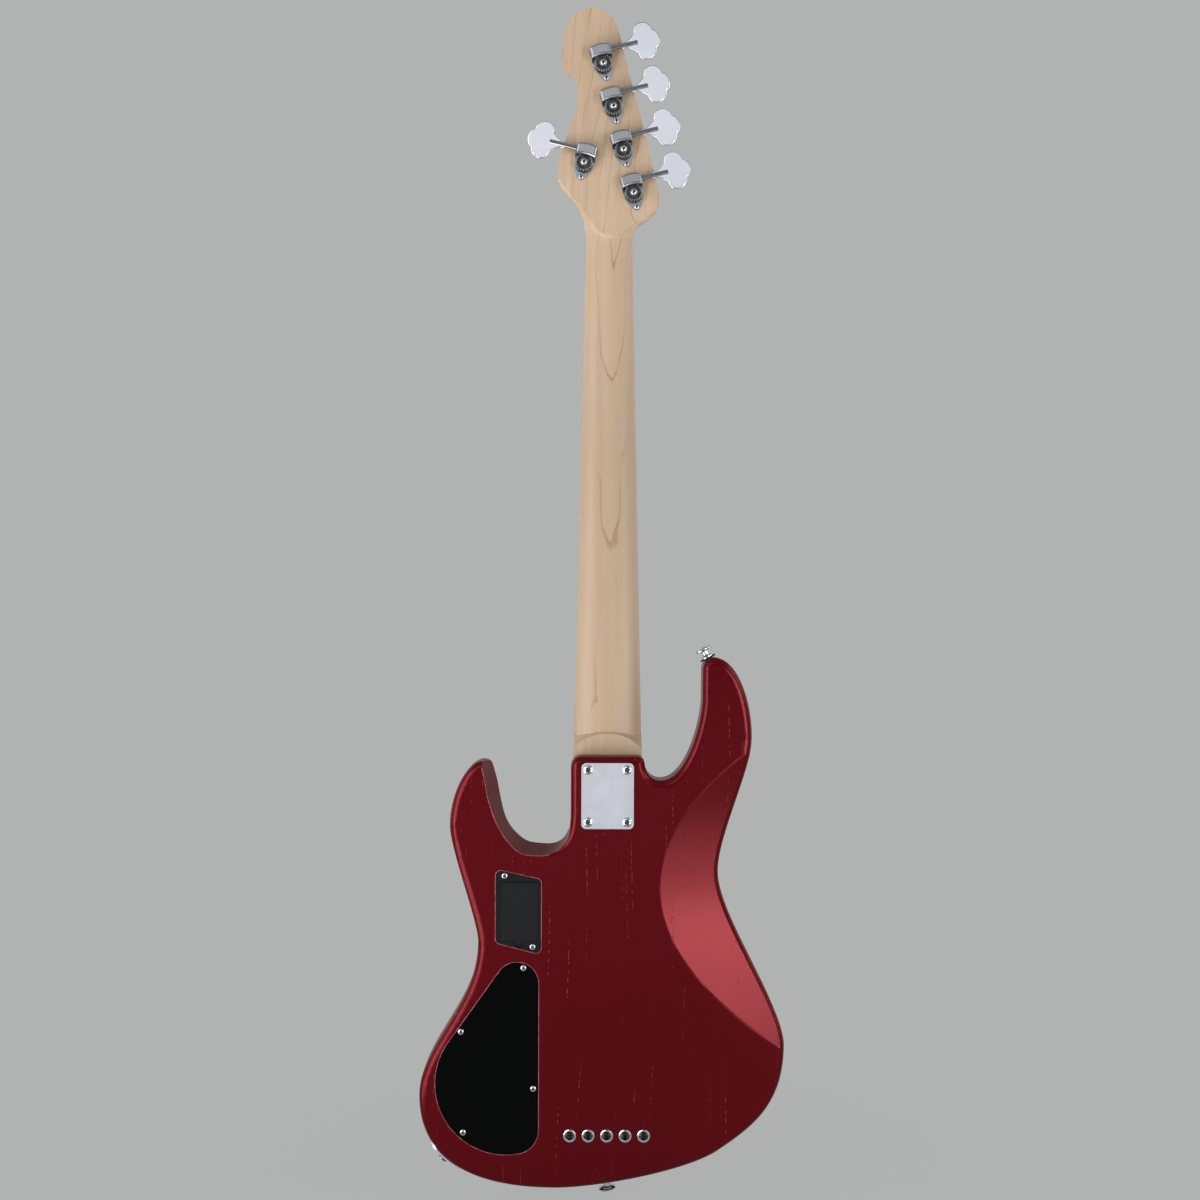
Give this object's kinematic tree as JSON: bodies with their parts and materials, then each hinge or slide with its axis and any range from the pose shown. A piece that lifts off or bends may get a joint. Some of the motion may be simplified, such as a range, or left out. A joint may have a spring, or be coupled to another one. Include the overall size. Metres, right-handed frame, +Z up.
{
  "type": "electric bass guitar",
  "caption": "Solid-body electric bass guitar with a bolt-on maple neck, open-geared tuners, bridge, pickups, knobs and a battery box in the back, for playing or display.",
  "frame": {"origin": "middle of the nut, on the playing surface of the fingerboard", "axes": "+Z up the neck towards the headstock, +X to the bass-string side, +Y out of the front, so the back faces -Y"},
  "size_m": [0.356, 0.0639, 1.1682],
  "materials": {
    "red_wood": "satin",
    "maple": "satin",
    "maple_board": "satin",
    "fret_wire": "polished",
    "black_inlay": "gloss",
    "bone": "satin",
    "steel": "satin",
    "string_wire": "satin",
    "chrome": "polished",
    "gear_steel": "satin",
    "black_gloss": "gloss",
    "black_plastic": "satin",
    "black_screw": "satin",
    "battery_case": "satin",
    "felt": "matte",
    "circuit": "satin",
    "wire_cover": "satin"
  },
  "bodies": {
    "instrument": {"body": "red_wood", "neck": "maple", "fingerboard": "maple_board", "frets": "fret_wire", "position_dots": "black_inlay", "nut": "bone", "truss_rod": "steel", "strings": "string_wire", "neck_plate": "chrome", "neck_plate_screws": "chrome", "control_cover": "black_gloss", "cover_screws": "chrome", "battery_box": "black_plastic", "battery": "battery_case", "string_ferrules": "chrome", "strap_buttons": "chrome", "strap_washers": "felt", "strap_button_screws": "chrome", "jack_plate": "chrome", "jack_socket": "chrome", "bridge_plate": "chrome", "bridge_screws": "chrome", "intonation_screws": "steel", "pickup_covers": "black_plastic", "pickup_poles": "steel", "pickup_screws": "black_screw", "pots": "steel", "preamp_board": "circuit", "wiring": "wire_cover", "tuner_plates": "chrome", "tuner_covers": "chrome", "tuner_bushings": "chrome", "tuner_screws": "chrome"},
    "saddle_1_block": {"saddle_1": "chrome"},
    "saddle_2_block": {"saddle_2": "chrome"},
    "saddle_3_block": {"saddle_3": "chrome"},
    "saddle_4_block": {"saddle_4": "chrome"},
    "saddle_5_block": {"saddle_5": "chrome"},
    "knob_volume_turning": {"knob_volume": "chrome"},
    "knob_balance_turning": {"knob_balance": "chrome"},
    "knob_treble_turning": {"knob_treble": "chrome"},
    "knob_bass_turning": {"knob_bass": "chrome"},
    "battery_lid": {"battery_door": "black_plastic"},
    "key_1": {"tuner_key_1": "chrome"},
    "post_1": {"tuner_gear_1": "gear_steel", "tuner_post_1": "chrome"},
    "key_2": {"tuner_key_2": "chrome"},
    "post_2": {"tuner_gear_2": "gear_steel", "tuner_post_2": "chrome"},
    "key_3": {"tuner_key_3": "chrome"},
    "post_3": {"tuner_gear_3": "gear_steel", "tuner_post_3": "chrome"},
    "key_4": {"tuner_key_4": "chrome"},
    "post_4": {"tuner_gear_4": "gear_steel", "tuner_post_4": "chrome"},
    "key_5": {"tuner_key_5": "chrome"},
    "post_5": {"tuner_gear_5": "gear_steel", "tuner_post_5": "chrome"}
  },
  "joints": [
    {"name": "saddle_1_slide", "type": "slide", "parent": "instrument", "child": "saddle_1_block", "axis": [0, 0, 1], "range_m": [-0.003, 0.003]},
    {"name": "saddle_2_slide", "type": "slide", "parent": "instrument", "child": "saddle_2_block", "axis": [0, 0, 1], "range_m": [-0.003, 0.003]},
    {"name": "saddle_3_slide", "type": "slide", "parent": "instrument", "child": "saddle_3_block", "axis": [0, 0, 1], "range_m": [-0.003, 0.003]},
    {"name": "saddle_4_slide", "type": "slide", "parent": "instrument", "child": "saddle_4_block", "axis": [0, 0, 1], "range_m": [-0.003, 0.003]},
    {"name": "saddle_5_slide", "type": "slide", "parent": "instrument", "child": "saddle_5_block", "axis": [0, 0, 1], "range_m": [-0.003, 0.003]},
    {"name": "knob_volume_turn", "type": "hinge", "parent": "instrument", "child": "knob_volume_turning", "pos_m": [-0.092, -0.0082, -0.7456], "axis": [0, 1, 0], "range_deg": [-140, 140]},
    {"name": "knob_balance_turn", "type": "hinge", "parent": "instrument", "child": "knob_balance_turning", "pos_m": [-0.108, -0.0082, -0.7816], "axis": [0, 1, 0], "range_deg": [-140, 140]},
    {"name": "knob_treble_turn", "type": "hinge", "parent": "instrument", "child": "knob_treble_turning", "pos_m": [-0.124, -0.0082, -0.8176], "axis": [0, 1, 0], "range_deg": [-140, 140]},
    {"name": "knob_bass_turn", "type": "hinge", "parent": "instrument", "child": "knob_bass_turning", "pos_m": [-0.132, -0.0082, -0.8556], "axis": [0, 1, 0], "range_deg": [-140, 140]},
    {"name": "battery_door_hinge", "type": "hinge", "parent": "instrument", "child": "battery_lid", "pos_m": [-0.08585, -0.0501, -0.6374], "axis": [-1, 0, 0], "range_deg": [0, 100]},
    {"name": "key_1_turn", "type": "hinge", "parent": "instrument", "child": "key_1", "pos_m": [0.02122, -0.0306, 0.05277], "axis": [0.9728, 0, 0.2317], "continuous": true},
    {"name": "post_1_turn", "type": "hinge", "parent": "instrument", "child": "post_1", "pos_m": [0.024, -0.024, 0.0411], "axis": [0, -1, 0], "continuous": true},
    {"name": "key_2_turn", "type": "hinge", "parent": "instrument", "child": "key_2", "pos_m": [0.01109, -0.0306, 0.09528], "axis": [0.9728, 0, 0.2317], "continuous": true},
    {"name": "post_2_turn", "type": "hinge", "parent": "instrument", "child": "post_2", "pos_m": [0.01387, -0.024, 0.08361], "axis": [0, -1, 0], "continuous": true},
    {"name": "key_3_turn", "type": "hinge", "parent": "instrument", "child": "key_3", "pos_m": [0.00096, -0.0306, 0.13779], "axis": [0.9728, 0, 0.2317], "continuous": true},
    {"name": "post_3_turn", "type": "hinge", "parent": "instrument", "child": "post_3", "pos_m": [0.00375, -0.024, 0.12612], "axis": [0, -1, 0], "continuous": true},
    {"name": "key_4_turn", "type": "hinge", "parent": "instrument", "child": "key_4", "pos_m": [-0.00916, -0.0306, 0.1803], "axis": [0.9728, 0, 0.2317], "continuous": true},
    {"name": "post_4_turn", "type": "hinge", "parent": "instrument", "child": "post_4", "pos_m": [-0.00638, -0.024, 0.16863], "axis": [0, -1, 0], "continuous": true},
    {"name": "key_5_turn", "type": "hinge", "parent": "instrument", "child": "key_5", "pos_m": [-0.02242, -0.0306, 0.08237], "axis": [-0.9728, 0, 0.2317], "continuous": true},
    {"name": "post_5_turn", "type": "hinge", "parent": "instrument", "child": "post_5", "pos_m": [-0.0252, -0.024, 0.0707], "axis": [0, -1, 0], "continuous": true}
  ],
  "couplings": [
    {"joint": "post_1_turn", "follows": "key_1_turn", "ratio": 0.05},
    {"joint": "post_2_turn", "follows": "key_2_turn", "ratio": 0.05},
    {"joint": "post_3_turn", "follows": "key_3_turn", "ratio": 0.05},
    {"joint": "post_4_turn", "follows": "key_4_turn", "ratio": 0.05},
    {"joint": "post_5_turn", "follows": "key_5_turn", "ratio": 0.05}
  ]
}
